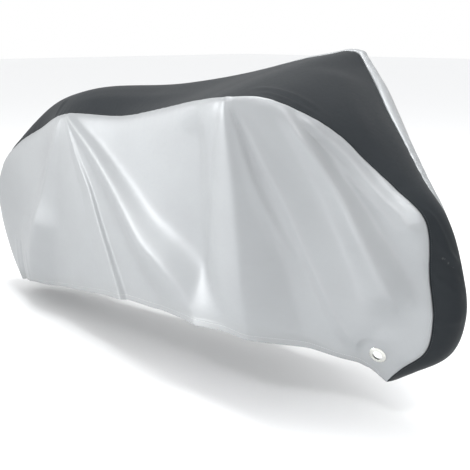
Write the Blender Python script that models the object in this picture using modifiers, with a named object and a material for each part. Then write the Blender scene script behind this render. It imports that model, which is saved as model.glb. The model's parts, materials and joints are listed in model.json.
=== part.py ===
"""A fitted bicycle cover, in the shape in which it hangs when it is in use.

The cover is one run of cross-sections, or ribs, from its rear hem to its front hem. Each rib goes
from the near hem up the near side panel, over the centre band and down the far side panel. The ribs
are joined by a smooth loft, the folds are pressed into it, and it is then cut along its seams into
the pieces of cloth that the cover is sewn from, each a closed sheet of its own.

Tables hold ground coordinates in metres: +X towards the cover's front, +Y to its far side, +Z up
from the ground. The finished part is lowered by SUPPORT_HEIGHT, so that its origin lies under the
band, at the place where the cover is held up.
"""

import math
from typing import NamedTuple

import bmesh
import bpy
import numpy as np
from mathutils import Vector

# Driving dimensions, in metres.
SUPPORT_HEIGHT = 0.816      # of the place just under the band, halfway along, where it is held up
SHEET = 0.002               # thickness of the coated cloth, its seams and hems taken in
PIECE_GAP = 0.0003          # left between two pieces that are sewn or pressed together
PANEL_ROWS = 14             # rows of faces from a seam to the hem below it
BAND_ROWS = 6               # rows of faces across the band
ROW_CROWDING = 1.5          # above 1, rows of a panel crowd towards its seam
CROWDED_LENGTH = 0.30       # on a rib this long or longer
BROW_DEPTH = 0.035          # share of a panel's height in which its brow stands out
NEAR_RISE = 0.25            # how much of the near brow points up, next to 1 sideways
FAR_RISE = 0.55             # and of the far brow
HELD_BY_SEAM = 0.020        # the folds rise to their full height this far from the seam that holds them
CREST_SAMPLES = 100         # places along a fold's crest at which it is read

# Each side panel is one cloth. It is cut into lengths at the ribs where its folds are gathered, so
# that each length is simple enough to be followed closely.
PANEL_LENGTHS = (("rear", "rear hem", "rear corner"), ("middle", "rear corner", "peak"),
                 ("front", "peak", "front nose"))
CORNER_RIB = "front nose"   # the eyelet corners run from here to the front hem

# The eyelets: a pressed ring that grips the cloth between a flange and a washer.
EYELET_X = 0.821
EYELET_Z = 0.214
EYELET_BORE = 0.0125        # radius of the open hole
EYELET_NECK = 0.0140        # outer radius of the neck that goes through the cloth
EYELET_FLANGE = 0.0215      # outer radius of the flange and of the washer
EYELET_PLATE = 0.0009       # thickness of the flange at its rim
EYELET_CROWN = 0.0022       # height of the rolled rim over the cloth
EYELET_SEGMENTS = 28
FLAT_INNER = 0.038          # the cloth is flat this far round an eyelet
FLAT_OUTER = 0.062          # and has its own shape again from here


class Rib(NamedTuple):
    """One cross-section of the cover, in ground coordinates."""

    name: str
    near: tuple     # seam on the near side: x, y, z
    far: tuple      # seam on the far side: x, y, z
    crown: float    # rise of the band over the chord between its seams
    brow: tuple     # how far the near and the far panel stand out just below their seams
    hem: tuple      # x, half width and z of both hems
    belly: float    # how far the panels stand out halfway down
    steps: int      # columns of faces up to the next rib


class Fold(NamedTuple):
    """A fold that fans out in a cone from where the cloth is held, such as the corner of the saddle."""

    name: str
    crest: tuple           # points along its top: x, z
    behind: tuple          # how wide its flank towards the cover's rear is, at its start and its end
    ahead: tuple           # the same, towards the cover's front
    height: float          # where it is widest
    crest_round: float     # how round its crest is, and its feet, as shares of its flanks
    foot_round: float
    end_share: float       # the share of its height that is left at its end


RIBS = (
    Rib("rear hem", (-0.900, -0.050, 0.070), (-0.900, 0.050, 0.074),
        0.025, (0.004, 0.004), (-0.868, 0.056, 0.066), 0.000, 2),
    Rib("rear low", (-0.965, -0.052, 0.185), (-0.965, 0.052, 0.189),
        0.032, (0.008, 0.010), (-0.820, 0.070, 0.072), 0.012, 2),
    Rib("rear nose", (-1.005, -0.054, 0.300), (-1.005, 0.054, 0.305),
        0.034, (0.012, 0.014), (-0.750, 0.084, 0.088), 0.018, 2),
    Rib("rear brow", (-1.012, -0.055, 0.395), (-1.012, 0.056, 0.402),
        0.034, (0.014, 0.016), (-0.680, 0.096, 0.099), 0.022, 2),
    Rib("rear turn", (-0.957, -0.060, 0.492), (-0.957, 0.063, 0.502),
        0.030, (0.014, 0.018), (-0.600, 0.111, 0.105), 0.026, 3),
    Rib("rear slope", (-0.821, -0.070, 0.581), (-0.821, 0.076, 0.596),
        0.041, (0.016, 0.020), (-0.500, 0.130, 0.119), 0.028, 3),
    Rib("rear ridge", (-0.648, -0.080, 0.650), (-0.650, 0.090, 0.672),
        0.068, (0.016, 0.022), (-0.400, 0.148, 0.135), 0.026, 4),
    Rib("rear corner", (-0.409, -0.150, 0.715), (-0.430, 0.125, 0.745),
        0.061, (0.020, 0.024), (-0.300, 0.164, 0.150), 0.016, 9),
    Rib("back", (-0.009, -0.180, 0.743), (-0.010, 0.140, 0.824),
        0.030, (0.018, 0.030), (-0.020, 0.196, 0.191), 0.010, 5),
    Rib("waist", (0.185, -0.210, 0.777), (0.170, 0.190, 0.868),
        0.012, (0.018, 0.038), (0.130, 0.205, 0.200), 0.010, 5),
    Rib("rise", (0.387, -0.265, 0.811), (0.345, 0.255, 0.911),
        0.010, (0.022, 0.044), (0.300, 0.202, 0.218), 0.008, 5),
    Rib("peak", (0.534, -0.310, 0.828), (0.441, 0.285, 0.917),
        0.012, (0.026, 0.050), (0.420, 0.196, 0.226), 0.004, 3),
    Rib("peak front", (0.607, -0.280, 0.831), (0.500, 0.253, 0.877),
        0.016, (0.024, 0.056), (0.500, 0.186, 0.226), 0.004, 3),
    Rib("slope top", (0.697, -0.210, 0.789), (0.600, 0.178, 0.817),
        0.018, (0.020, 0.058), (0.570, 0.174, 0.220), 0.008, 2),
    Rib("slope high", (0.748, -0.165, 0.747), (0.670, 0.130, 0.767),
        0.018, (0.018, 0.056), (0.620, 0.159, 0.214), 0.012, 2),
    Rib("slope middle", (0.798, -0.135, 0.693), (0.740, 0.090, 0.715),
        0.018, (0.016, 0.044), (0.660, 0.144, 0.208), 0.014, 3),
    Rib("slope low", (0.865, -0.110, 0.634), (0.830, 0.047, 0.637),
        0.018, (0.016, 0.034), (0.695, 0.127, 0.200), 0.014, 3),
    Rib("front brow", (0.934, -0.090, 0.569), (0.915, 0.020, 0.555),
        0.022, (0.014, 0.022), (0.722, 0.113, 0.194), 0.014, 4),
    Rib("front nose", (0.942, -0.070, 0.428), (0.943, 0.044, 0.432),
        0.042, (0.012, 0.018), (0.748, 0.100, 0.190), 0.012, 4),
    Rib("front low", (0.953, -0.065, 0.335), (0.954, 0.052, 0.338),
        0.042, (0.010, 0.012), (0.764, 0.090, 0.186), 0.010, 3),
    Rib("front under", (0.938, -0.060, 0.257), (0.939, 0.055, 0.259),
        0.033, (0.008, 0.008), (0.779, 0.080, 0.178), 0.006, 3),
    Rib("front tuck", (0.867, -0.060, 0.186), (0.868, 0.056, 0.187),
        0.020, (0.004, 0.004), (0.792, 0.073, 0.172), 0.003, 2),
    Rib("front hem", (0.828, -0.060, 0.144), (0.829, 0.056, 0.145),
        0.006, (0.000, 0.000), (0.806, 0.066, 0.161), 0.000, 0),
)

NEAR_FOLDS = (
    Fold("kite ridge", ((-0.375, 0.725), (-0.483, 0.536), (-0.575, 0.345), (-0.690, 0.129), (-0.740, 0.0)),
         (0.020, 0.180), (0.020, 0.200), 0.050, 0.12, 0.30, 0.50),
    Fold("shoulder of the crease",
         ((-0.345, 0.722), (-0.268, 0.603), (-0.198, 0.502), (-0.150, 0.399), (-0.107, 0.313),
          (-0.050, 0.198), (0.000, 0.060)),
         (0.024, 0.150), (0.024, 0.060), 0.034, 0.45, 0.30, 0.80),
    Fold("drape ridge",
         ((-0.335, 0.725), (-0.183, 0.637), (-0.064, 0.552), (0.032, 0.480), (0.120, 0.409),
          (0.221, 0.345), (0.301, 0.270), (0.350, 0.180), (0.390, 0.050)),
         (0.026, 0.150), (0.026, 0.086), 0.064, 0.35, 0.30, 0.60),
    Fold("peak cone",
         ((0.541, 0.840), (0.537, 0.707), (0.531, 0.584), (0.524, 0.454), (0.518, 0.318),
          (0.515, 0.060)),
         (0.020, 0.250), (0.020, 0.180), 0.092, 0.12, 0.10, 0.45),
    Fold("peak pipe",
         ((0.548, 0.828), (0.573, 0.783), (0.602, 0.690), (0.626, 0.615), (0.653, 0.532),
          (0.680, 0.450), (0.700, 0.400), (0.718, 0.352), (0.741, 0.297), (0.770, 0.248),
          (0.797, 0.204)),
         (0.022, 0.044), (0.022, 0.110), 0.022, 0.40, 0.30, 0.00),
    Fold("slope ridge",
         ((0.645, 0.825), (0.667, 0.777), (0.697, 0.725), (0.729, 0.664), (0.765, 0.602),
          (0.798, 0.540), (0.835, 0.473), (0.865, 0.399), (0.885, 0.300)),
         (0.024, 0.160), (0.024, 0.110), 0.044, 0.35, 0.30, 0.00),
)

FAR_FOLDS = (
    Fold("kite ridge", ((-0.395, 0.755), (-0.500, 0.540), (-0.600, 0.330), (-0.720, 0.030)),
         (0.020, 0.230), (0.020, 0.180), 0.046, 0.20, 0.30, 0.50),
    Fold("shoulder of the crease",
         ((-0.365, 0.750), (-0.290, 0.600), (-0.210, 0.440), (-0.130, 0.270), (-0.070, 0.050)),
         (0.024, 0.150), (0.024, 0.060), 0.026, 0.45, 0.30, 0.50),
    Fold("drape ridge",
         ((-0.355, 0.755), (-0.210, 0.640), (-0.080, 0.520), (0.040, 0.390), (0.150, 0.250),
          (0.230, 0.050)),
         (0.026, 0.150), (0.026, 0.120), 0.056, 0.35, 0.30, 0.50),
    Fold("peak cone",
         ((0.447, 0.925), (0.440, 0.760), (0.425, 0.600), (0.405, 0.420), (0.390, 0.060)),
         (0.020, 0.260), (0.020, 0.170), 0.068, 0.16, 0.30, 0.50),
    Fold("peak pipe",
         ((0.455, 0.915), (0.500, 0.800), (0.555, 0.660), (0.620, 0.500), (0.690, 0.350),
          (0.780, 0.210)),
         (0.022, 0.044), (0.022, 0.100), 0.020, 0.40, 0.30, 0.00),
    Fold("slope ridge",
         ((0.540, 0.880), (0.620, 0.760), (0.700, 0.620), (0.770, 0.480), (0.830, 0.320)),
         (0.024, 0.160), (0.024, 0.100), 0.046, 0.35, 0.30, 0.00),
)


def rib_columns():
    """Returns the columns of the loft as positions in the table of ribs, such as 2.5 for halfway."""
    columns = []
    for number, rib in enumerate(RIBS[:-1]):
        columns += [number + step / rib.steps for step in range(rib.steps)]
    return np.array(columns + [len(RIBS) - 1.0])


def column_of(name):
    """Returns the column of the loft that lies on the named rib."""
    number = [rib.name for rib in RIBS].index(name)
    return int(np.argmin(np.abs(rib_columns() - number)))


def smooth_read(knots, values, where):
    """Reads a table between its rows with a cubic curve through them.

    knots are the rows' own distances, values the rows, and where the distances to read.
    """
    knots = np.asarray(knots, float)
    values = np.asarray(values, float)
    spans = np.diff(knots)[:, None]
    chords = np.diff(values, axis=0) / spans
    slopes = np.empty_like(values)
    slopes[0], slopes[-1] = chords[0], chords[-1]
    slopes[1:-1] = (chords[:-1] * spans[1:] + chords[1:] * spans[:-1]) / (spans[:-1] + spans[1:])
    row = np.clip(np.searchsorted(knots, where, side="right") - 1, 0, len(knots) - 2)
    span = spans[row]
    share = ((where - knots[row]) / spans[row, 0])[:, None]
    return (
        (2 * share ** 3 - 3 * share ** 2 + 1) * values[row]
        + (share ** 3 - 2 * share ** 2 + share) * span * slopes[row]
        + (3 * share ** 2 - 2 * share ** 3) * values[row + 1]
        + (share ** 3 - share ** 2) * span * slopes[row + 1]
    )


def read_ribs(positions):
    """Returns the ribs' measures at the given positions, one row for each, as named arrays."""
    rows = np.array([
        (*rib.near, *rib.far, rib.crown, *rib.brow, *rib.hem, rib.belly) for rib in RIBS
    ])
    middles = (rows[:, 0:3] + rows[:, 3:6]) / 2
    knots = np.concatenate([[0.0], np.cumsum(np.linalg.norm(np.diff(middles, axis=0), axis=1))])
    read = smooth_read(knots, rows, np.interp(positions, np.arange(len(RIBS)), knots))
    hem_x, hem_half, hem_z = read[:, 9], read[:, 10], read[:, 11]
    return {
        "near": read[:, 0:3],
        "far": read[:, 3:6],
        "crown": read[:, 6],
        "near_brow": read[:, 7],
        "far_brow": read[:, 8],
        "near_hem": np.stack([hem_x, -hem_half, hem_z], axis=1),
        "far_hem": np.stack([hem_x, hem_half, hem_z], axis=1),
        "belly": read[:, 12],
    }


def panel_points(seam, hem, brow, belly, outwards):
    """Lofts one side panel: columns by rows of points, from the seam down to the hem.

    outwards is the way in which its brow stands out.
    """
    lengths = np.linalg.norm(hem - seam, axis=1)
    crowding = 1 + (ROW_CROWDING - 1) * np.clip(lengths / CROWDED_LENGTH, 0, 1)
    share = (np.arange(PANEL_ROWS + 1) / PANEL_ROWS)[None, :] ** crowding[:, None]
    turned = 1 - np.exp(-share / BROW_DEPTH)  # the cloth first runs outwards, then turns down
    down = (share * turned)[:, :, None]
    stand_out = turned * (1 - share) ** 1.5
    return (
        seam[:, None, :] * (1 - down)
        + hem[:, None, :] * down
        + np.array(outwards) * (brow[:, None] * stand_out)[:, :, None]
        + np.array([0.0, outwards[1], 0.0]) * (belly[:, None] * np.sin(np.pi * share))[:, :, None]
    )


def band_points(near, far, crown):
    """Lofts the centre band: columns by rows of points, from the near seam to the far seam."""
    share = np.arange(BAND_ROWS + 1) / BAND_ROWS
    across = far - near
    along = np.gradient((near + far) / 2, axis=0)
    upwards = np.cross(along, across)
    upwards /= np.linalg.norm(upwards, axis=1)[:, None]
    rise = crown[:, None] * (1 - np.abs(2 * share - 1) ** 2.2)
    return (
        near[:, None, :]
        + across[:, None, :] * share[None, :, None]
        + upwards[:, None, :] * rise[:, :, None]
    )


def surface_normals(points):
    """Returns the unit normal at each point of a grid of columns by rows."""
    normals = np.cross(np.gradient(points, axis=0), np.gradient(points, axis=1))
    return normals / np.linalg.norm(normals, axis=2)[:, :, None]


def smoothstep(low, high, value):
    """Rises smoothly from 0 at low to 1 at high."""
    share = np.clip((value - low) / (high - low), 0.0, 1.0)
    return share * share * (3 - 2 * share)


def fold_heights(points, folds):
    """Returns how far the folds lift each point of a panel, from its x and z."""
    heights = np.zeros(points.shape[:2])
    place = points[:, :, [0, 2]]
    for fold in folds:
        knots = np.array(fold.crest)
        steps = np.linalg.norm(np.diff(knots, axis=0), axis=1)
        run = np.concatenate([[0.0], np.cumsum(steps)])
        crest = smooth_read(run, knots, np.linspace(0, run[-1], CREST_SAMPLES))
        line = np.gradient(crest, axis=0)
        step = np.linalg.norm(line, axis=1)
        line /= step[:, None]
        nearest = np.linalg.norm(place[:, :, None, :] - crest, axis=3).argmin(axis=2)
        offset = place - crest[nearest]
        onward = (offset * line[nearest]).sum(axis=2)
        aside = offset[:, :, 1] * line[nearest, 0] - offset[:, :, 0] * line[nearest, 1]
        reached = nearest + onward / step[nearest]
        share = np.clip(reached / (CREST_SAMPLES - 1), 0, 1)
        beyond = (reached - share * (CREST_SAMPLES - 1)) * step[nearest]
        behind = fold.behind[0] + (fold.behind[1] - fold.behind[0]) * share
        ahead = fold.ahead[0] + (fold.ahead[1] - fold.ahead[0]) * share
        flank = np.hypot(aside, beyond) / np.where(aside > 0, ahead, behind)
        fall = np.sqrt(flank ** 2 + fold.crest_round ** 2) - fold.crest_round
        tent = 0.5 * (1 - fall + np.sqrt((1 - fall) ** 2 + fold.foot_round ** 2))
        swell = (behind + ahead) / (fold.behind[1] + fold.ahead[1])
        swell = swell * (1 - (1 - fold.end_share) * smoothstep(0.5, 1.0, share))
        heights += fold.height * swell * tent
    return heights


def flatten_round(points, centre):
    """Presses a round patch of cloth flat, for the eyelet at its centre, and returns the face's normal."""
    reach = np.linalg.norm(points - centre, axis=2)
    weight = 1 - smoothstep(FLAT_INNER, FLAT_OUTER, reach)
    normals = surface_normals(points)
    normal = (normals * weight[:, :, None]).sum(axis=(0, 1))
    normal /= np.linalg.norm(normal)
    height = (points - centre) @ normal
    points -= (height * weight)[:, :, None] * normal
    return normal


def nearest_point(points, x, z):
    """Returns the point of a grid that is nearest to a place given by its x and z."""
    miss = (points[:, :, 0] - x) ** 2 + (points[:, :, 2] - z) ** 2
    return points[np.unravel_index(np.argmin(miss), miss.shape)].copy()


def drape_cover():
    """Returns the whole cover's outer surface as one grid, its normals, and its two eyelets' places.

    The grid's rows run from the near hem over the band to the far hem.
    """
    measures = read_ribs(rib_columns())
    near, far = (
        panel_points(
            measures[side], measures[f"{side}_hem"], measures[f"{side}_brow"], measures["belly"], outwards
        )
        for side, outwards in (("near", (0.0, -1.0, NEAR_RISE)), ("far", (0.0, 1.0, FAR_RISE)))
    )
    band = band_points(measures["near"], measures["far"], measures["crown"])
    points = np.concatenate([near[:, ::-1], band[:, 1:-1], far], axis=1)
    normals = surface_normals(points)
    near_rows = slice(0, PANEL_ROWS + 1)
    far_rows = slice(points.shape[1] - PANEL_ROWS - 1, points.shape[1])
    for rows, seam, folds in ((near_rows, -1, NEAR_FOLDS), (far_rows, 0, FAR_FOLDS)):
        panel = points[:, rows]
        away = np.linalg.norm(panel - panel[:, [seam]], axis=2)
        held = 0.1 + 0.9 * smoothstep(0.0, HELD_BY_SEAM, away)
        lift = fold_heights(panel, folds) * held
        points[:, rows] += normals[:, rows] * lift[:, :, None]
    eyelets = {}
    for side, rows in (("near", near_rows), ("far", far_rows)):
        centre = nearest_point(points[:, rows], EYELET_X, EYELET_Z)
        normal = flatten_round(points[:, rows], centre)
        eyelets[side] = (centre, normal)
    return points, surface_normals(points), eyelets


def draw_in(points, columns, rows):
    """Moves the cut edges of a patch of the grid inwards by half the gap that the pieces keep."""
    patch = points[columns, rows].copy()
    for axis in (0, 1):
        edges = np.moveaxis(patch, axis, 0)
        for edge, inside in ((0, 1), (-1, -2)):
            step = edges[inside] - edges[edge]
            step /= np.linalg.norm(step, axis=1)[:, None]
            edges[edge] += step * PIECE_GAP / 2
    return patch


def make_material(name, colour, roughness, metallic=0.0):
    """Makes a Principled BSDF material of one colour."""
    material = bpy.data.materials.new(name)
    material.use_nodes = True
    surface = material.node_tree.nodes["Principled BSDF"]
    surface.inputs["Base Color"].default_value = (*colour, 1.0)
    surface.inputs["Roughness"].default_value = roughness
    surface.inputs["Metallic"].default_value = metallic
    return material


def add_object(name, mesh, material, collection):
    """Adds a mesh to the scene as a named object of one material."""
    mesh.materials.append(material)
    thing = bpy.data.objects.new(name, mesh)
    collection.objects.link(thing)
    return thing


def sheet_mesh(name, outer, normals):
    """Makes a closed sheet of cloth from a grid of outer points, thickened along their normals."""
    inner = outer - normals * SHEET
    columns, rows = outer.shape[:2]
    shape = bmesh.new()
    drop = np.array([0.0, 0.0, SUPPORT_HEIGHT])
    top, bottom = (
        [[shape.verts.new(point - drop) for point in column] for column in layer]
        for layer in (outer, inner)
    )
    for column in range(columns - 1):
        for row in range(rows - 1):
            corners = ((column, row), (column + 1, row), (column + 1, row + 1), (column, row + 1))
            spans = [
                np.linalg.norm(outer[corners[n]] - outer[corners[n + 2]]) for n in (0, 1)
            ]
            turn = int(spans[1] < spans[0])  # both layers are split along the shorter diagonal
            for picks in ((0, 1, 2), (0, 2, 3)):
                triangle = [corners[(pick + turn) % 4] for pick in picks]
                shape.faces.new([top[c][r] for c, r in triangle])
                shape.faces.new([bottom[c][r] for c, r in reversed(triangle)])
    rim = (
        [(column, 0) for column in range(columns)]
        + [(columns - 1, row) for row in range(1, rows)]
        + [(column, rows - 1) for column in range(columns - 2, -1, -1)]
        + [(0, row) for row in range(rows - 2, 0, -1)]
    )
    for here, after in zip(rim, rim[1:] + rim[:1]):
        low, low_next = bottom[here[0]][here[1]], bottom[after[0]][after[1]]
        high, high_next = top[here[0]][here[1]], top[after[0]][after[1]]
        if here < after:  # both pieces at a cut split its faces along the same diagonals
            triangles = ((low, low_next, high_next), (low, high_next, high))
        else:
            triangles = ((low, low_next, high), (low_next, high_next, high))
        for corners in triangles:
            shape.faces.new(corners)
    mesh = bpy.data.meshes.new(name)
    shape.to_mesh(mesh)
    shape.free()
    mesh.shade_smooth()
    mesh.set_sharp_from_angle(angle=math.radians(40))
    return mesh


def face_along(centre, normal):
    """Returns the placement that puts a turned piece's axis on a normal of the cloth, at a ground point."""
    placement = Vector(normal).to_track_quat("Z", "Y").to_matrix().to_4x4()
    placement.translation = Vector(centre) - Vector((0.0, 0.0, SUPPORT_HEIGHT))
    return placement


def cut_round_hole(sheet, placement, cutters):
    """Cuts the hole for an eyelet's neck through a sheet."""
    bpy.ops.mesh.primitive_cylinder_add(
        vertices=EYELET_SEGMENTS, radius=EYELET_NECK + PIECE_GAP, depth=10 * SHEET
    )
    cutter = bpy.context.object
    cutter.name = f"{sheet.name}_hole_cutter"
    cutter.matrix_world = placement
    cutter.hide_render = True
    cutter.display_type = "WIRE"
    for owner in list(cutter.users_collection):
        owner.objects.unlink(cutter)
    cutters.objects.link(cutter)
    cut = sheet.modifiers.new("eyelet hole", "BOOLEAN")
    cut.operation = "DIFFERENCE"
    cut.solver = "EXACT"
    cut.object = cutter


def add_eyelet(name, placement, material, collection):
    """Adds an eyelet as a turned ring: a neck, a rolled flange over the cloth and a washer under it."""
    over = PIECE_GAP
    under = -SHEET - PIECE_GAP
    middle = (EYELET_NECK + EYELET_FLANGE) / 2
    profile = (
        (EYELET_BORE, over + EYELET_CROWN * 0.55),
        (EYELET_BORE + 0.0010, over + EYELET_CROWN * 0.95),
        (middle - 0.0010, over + EYELET_CROWN),
        (EYELET_FLANGE - 0.0008, over + EYELET_PLATE * 1.5),
        (EYELET_FLANGE, over + EYELET_PLATE * 0.6),
        (EYELET_FLANGE, over),
        (EYELET_NECK, over),
        (EYELET_NECK, under),
        (EYELET_FLANGE, under),
        (EYELET_FLANGE, under - EYELET_PLATE),
        (EYELET_BORE, under - EYELET_PLATE),
    )
    mesh = bpy.data.meshes.new(name)
    mesh.from_pydata(
        [(radius, 0.0, height) for radius, height in profile],
        [(n, (n + 1) % len(profile)) for n in range(len(profile))],
        [],
    )
    ring = add_object(name, mesh, material, collection)
    turn = ring.modifiers.new("turned", "SCREW")
    turn.axis = "Z"
    turn.angle = math.tau
    turn.steps = turn.render_steps = EYELET_SEGMENTS
    turn.use_merge_vertices = True
    turn.merge_threshold = 0.00005
    ring.matrix_world = placement
    return ring


def clear_scene():
    """Removes every object that the scene starts with."""
    for thing in list(bpy.data.objects):
        bpy.data.objects.remove(thing, do_unlink=True)


def build():
    """Builds the cover's pieces."""
    clear_scene()
    cover = bpy.data.collections.new("bicycle_cover")
    cutters = bpy.data.collections.new("bicycle_cover_cutters")
    for collection in (cover, cutters):
        bpy.context.scene.collection.children.link(collection)
    silver = make_material("silver_coated_polyester", (0.62, 0.65, 0.66), 0.45)
    black = make_material("black_coated_polyester", (0.030, 0.034, 0.037), 0.40)
    nickel = make_material("nickel_plated_brass", (0.72, 0.72, 0.70), 0.22, metallic=1.0)

    points, normals, eyelets = drape_cover()
    last_column = points.shape[0] - 1
    near_seam = PANEL_ROWS
    far_seam = PANEL_ROWS + BAND_ROWS
    hem = points.shape[1] - 1
    corner = column_of(CORNER_RIB)
    cloths = [("centre_band", (0, last_column), (near_seam, far_seam), black)]
    for side, rows in (("near", (0, near_seam)), ("far", (far_seam, hem))):
        for length, start, end in PANEL_LENGTHS:
            columns = column_of(start), column_of(end)
            cloths.append((f"side_panel_{side}_{length}", columns, rows, silver))
        cloths.append((f"eyelet_corner_{side}", (corner, last_column), rows, silver))
    sheets = {}
    for name, columns, rows, material in cloths:
        window = slice(columns[0], columns[1] + 1), slice(rows[0], rows[1] + 1)
        mesh = sheet_mesh(name, draw_in(points, *window), normals[window])
        sheets[name] = add_object(name, mesh, material, cover)
    for side, (centre, normal) in eyelets.items():
        placement = face_along(centre, normal)
        cut_round_hole(sheets[f"eyelet_corner_{side}"], placement, cutters)
        add_eyelet(f"eyelet_{side}", placement, nickel, cover)


build()
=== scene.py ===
"""The look of a fitted bicycle cover: coated cloth, its seams and hems, and its two eyelets.

The cover hangs as it does in use. Its cloth is lofted through a short table of ribs, each a
cross-section from the near hem over the centre band to the far hem, and the folds are pressed into
it from a second table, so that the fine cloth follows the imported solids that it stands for.

Lengths are metres. The tables of ribs and folds hold ground coordinates: +X towards the cover's
front, +Y to its far side, +Z up from the ground. Everything built is lowered by SUPPORT_HEIGHT into
the frame's own coordinates.
"""

import json
import logging
import math
from dataclasses import dataclass, field
from enum import Enum

import bmesh
import bpy
import numpy as np
from mathutils import Matrix, Vector, noise

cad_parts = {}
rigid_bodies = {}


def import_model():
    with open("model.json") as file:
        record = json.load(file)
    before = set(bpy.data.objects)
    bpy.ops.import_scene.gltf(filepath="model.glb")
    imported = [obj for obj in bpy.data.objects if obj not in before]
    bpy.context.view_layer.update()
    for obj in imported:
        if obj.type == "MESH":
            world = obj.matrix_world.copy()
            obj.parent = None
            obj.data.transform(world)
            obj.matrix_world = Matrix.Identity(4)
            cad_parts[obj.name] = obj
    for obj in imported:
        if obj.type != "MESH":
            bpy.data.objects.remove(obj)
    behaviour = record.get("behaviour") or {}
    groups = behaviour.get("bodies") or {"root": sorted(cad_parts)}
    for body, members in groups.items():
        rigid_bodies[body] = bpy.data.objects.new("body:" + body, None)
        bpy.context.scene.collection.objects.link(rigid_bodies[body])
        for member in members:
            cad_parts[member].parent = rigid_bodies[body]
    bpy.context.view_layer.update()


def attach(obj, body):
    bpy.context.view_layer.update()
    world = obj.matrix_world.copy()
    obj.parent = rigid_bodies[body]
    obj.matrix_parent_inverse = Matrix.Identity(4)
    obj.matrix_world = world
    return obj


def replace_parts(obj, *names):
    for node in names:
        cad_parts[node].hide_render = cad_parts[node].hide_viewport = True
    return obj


MM = 0.001
SUPPORT_HEIGHT = 0.816      # of the frame's origin above the ground
BODY = "root"

log = logging.getLogger("bicycle_cover")


class Side(Enum):
    """The two sides of the cover, as the camera sees them."""

    NEAR = "near"
    FAR = "far"

    @property
    def outwards(self) -> float:
        """Returns the way along Y that leads out of the cover on this side."""
        return -1.0 if self is Side.NEAR else 1.0


class Slot(Enum):
    """The record's material slots."""

    SILVER = "silver_coated_polyester"
    BLACK = "black_coated_polyester"
    NICKEL = "nickel_plated_brass"


@dataclass(frozen=True)
class Rib:
    """One cross-section of the cover, in ground coordinates.

    near and far are the places of the two seams, crown the rise of the band over the chord between
    them, brow how far the near and the far panel stand out just below their seams, hem the x, half
    width and z of both hems, belly how far the panels stand out halfway down.
    """

    name: str
    near: tuple[float, float, float]
    far: tuple[float, float, float]
    crown: float
    brow: tuple[float, float]
    hem: tuple[float, float, float]
    belly: float


@dataclass(frozen=True)
class Fold:
    """A fold that fans out from where the cloth is held, such as a corner of what it hangs over.

    crest holds points along its top: x and z on a panel, metres along and across on the band. behind
    and ahead are how wide its flanks are at the first and the last of them, towards the cover's rear
    and towards its front. Cloth folds in cones, so the height, which is the one where the fold is
    widest, shrinks with the widths. Below 0 it is a trough. crest_round softens its top, as a share
    of its width, and foot_round its foot, as a share of its height. fade is the share of its run over
    which it rises at its start and dies away at its end, and end_share is the share of its height
    that is left at its last point.
    """

    name: str
    crest: tuple[tuple[float, float], ...]
    behind: tuple[float, float]
    ahead: tuple[float, float]
    height: float
    crest_round: float = 0.20
    foot_round: float = 0.30
    fade: float = 0.0
    end_share: float = 0.5

    def widths(self, share: np.ndarray) -> tuple[np.ndarray, np.ndarray]:
        """Returns the widths behind and ahead at each share of the way along the crest."""
        behind, ahead = (first + (last - first) * share for first, last in (self.behind, self.ahead))
        return behind, ahead


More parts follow.
